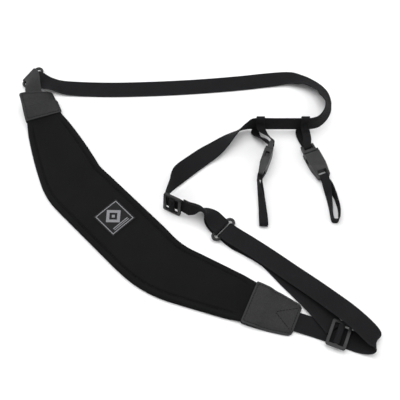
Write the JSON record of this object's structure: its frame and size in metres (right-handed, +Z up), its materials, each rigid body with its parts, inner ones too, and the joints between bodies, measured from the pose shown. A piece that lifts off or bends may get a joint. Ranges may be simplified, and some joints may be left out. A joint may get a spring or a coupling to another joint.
{
  "type": "padded instrument neck strap",
  "caption": "Padded shoulder and neck strap for a hand-held instrument, with a webbing loop, sliders, a ring and quick-release clips with thin eyelet loops.",
  "frame": {"origin": "middle of the pad's underside, on the table", "axes": "+Z up from the table; +X to the right and +Y away from a person who looks at the strap laid out with its pad in front"},
  "size_m": [0.3747, 0.3409, 0.0284],
  "materials": {
    "neoprene": "fine knitted stretch cover over foam",
    "foam": "closed-cell foam",
    "lining": "brushed lining",
    "label": null,
    "leather": "grained synthetic leather, stitched",
    "webbing": "flat woven webbing",
    "plastic": "moulded acetal, satin"
  },
  "bodies": {
    "strap": {"pad_cover": "neoprene", "pad_foam": "foam", "pad_lining": "lining", "pad_label": "label", "right_end_top": "leather", "right_end_back": "leather", "left_end_top": "leather", "left_end_back": "leather", "left_tab": "leather", "left_ring": "plastic", "main_webbing": "webbing", "joining_ring": "plastic", "adjuster_webbing": "webbing"},
    "upper_slider_body": {"upper_slider": "plastic", "upper_slider_bight": "webbing"},
    "lower_slider_body": {"lower_slider": "plastic", "lower_slider_bight": "webbing"},
    "left_hanger_body": {"left_hanger_loop": "webbing"},
    "left_plug_body": {"left_plug": "plastic"},
    "left_latch_near_body": {"left_latch_near": "plastic"},
    "left_latch_far_body": {"left_latch_far": "plastic"},
    "left_socket_body": {"left_socket": "plastic"},
    "left_eyelet_body": {"left_eyelet_loop": "webbing"},
    "right_hanger_body": {"right_hanger_loop": "webbing"},
    "right_plug_body": {"right_plug": "plastic"},
    "right_latch_near_body": {"right_latch_near": "plastic"},
    "right_latch_far_body": {"right_latch_far": "plastic"},
    "right_socket_body": {"right_socket": "plastic"},
    "right_eyelet_body": {"right_eyelet_loop": "webbing"}
  },
  "joints": [
    {"name": "upper_slider_slide", "type": "slide", "parent": "strap", "child": "upper_slider_body", "axis": [0.8829, -0.4695, 0], "range_m": [0, 0.005]},
    {"name": "lower_slider_slide", "type": "slide", "parent": "strap", "child": "lower_slider_body", "axis": [0.9272, -0.3746, 0], "range_m": [-0.008, 0]},
    {"name": "left_hanger_slide", "type": "slide", "parent": "strap", "child": "left_hanger_body", "axis": [1, 0, 0], "range_m": [0, 0.008]},
    {"name": "left_plug_swing", "type": "hinge", "parent": "left_hanger_body", "child": "left_plug_body", "pos_m": [0.1665, 0.088, 0.009], "axis": [0, 0, 1], "range_deg": [0, 12]},
    {"name": "left_latch_near_flex", "type": "hinge", "parent": "left_plug_body", "child": "left_latch_near_body", "pos_m": [0.16326, 0.07859, 0.0138], "axis": [0.9455, -0.3256, 0], "range_deg": [0, 5], "stiffness_Nm_per_rad": 0.05},
    {"name": "left_latch_far_flex", "type": "hinge", "parent": "left_plug_body", "child": "left_latch_far_body", "pos_m": [0.16326, 0.07859, 0.0042], "axis": [0.9455, -0.3256, 0], "range_deg": [-5, 0], "stiffness_Nm_per_rad": 0.05},
    {"name": "left_socket_release", "type": "slide", "parent": "left_plug_body", "child": "left_socket_body", "axis": [-0.3256, -0.9455, 0], "range_m": [0, 0.012]},
    {"name": "left_eyelet_swing", "type": "hinge", "parent": "left_socket_body", "child": "left_eyelet_body", "pos_m": [0.15353, 0.05032, 0.009], "axis": [0, 0, 1], "range_deg": [0, 15]},
    {"name": "right_hanger_slide", "type": "slide", "parent": "strap", "child": "right_hanger_body", "axis": [1, 0, 0], "range_m": [-0.008, 0]},
    {"name": "right_plug_swing", "type": "hinge", "parent": "right_hanger_body", "child": "right_plug_body", "pos_m": [0.206, 0.0888, 0.0048], "axis": [-0.9252, -0.3795, 0], "range_deg": [0, 40]},
    {"name": "right_latch_near_flex", "type": "hinge", "parent": "right_plug_body", "child": "right_latch_near_body", "pos_m": [0.20533, 0.07777, 0.0048], "axis": [0, 0, 1], "range_deg": [0, 5], "stiffness_Nm_per_rad": 0.05},
    {"name": "right_latch_far_flex", "type": "hinge", "parent": "right_plug_body", "child": "right_latch_far_body", "pos_m": [0.21422, 0.08142, 0.0048], "axis": [0, 0, 1], "range_deg": [-5, 0], "stiffness_Nm_per_rad": 0.05},
    {"name": "right_socket_release", "type": "slide", "parent": "right_plug_body", "child": "right_socket_body", "axis": [0.3795, -0.9252, 0], "range_m": [0, 0.012]},
    {"name": "right_eyelet_swing", "type": "hinge", "parent": "right_socket_body", "child": "right_eyelet_body", "pos_m": [0.22112, 0.05193, 0.0048], "axis": [-0.9252, -0.3795, 0], "range_deg": [0, 40]}
  ],
  "couplings": [
    {"joint": "left_latch_far_flex", "follows": "left_latch_near_flex", "ratio": -1},
    {"joint": "right_latch_far_flex", "follows": "right_latch_near_flex", "ratio": -1}
  ]
}
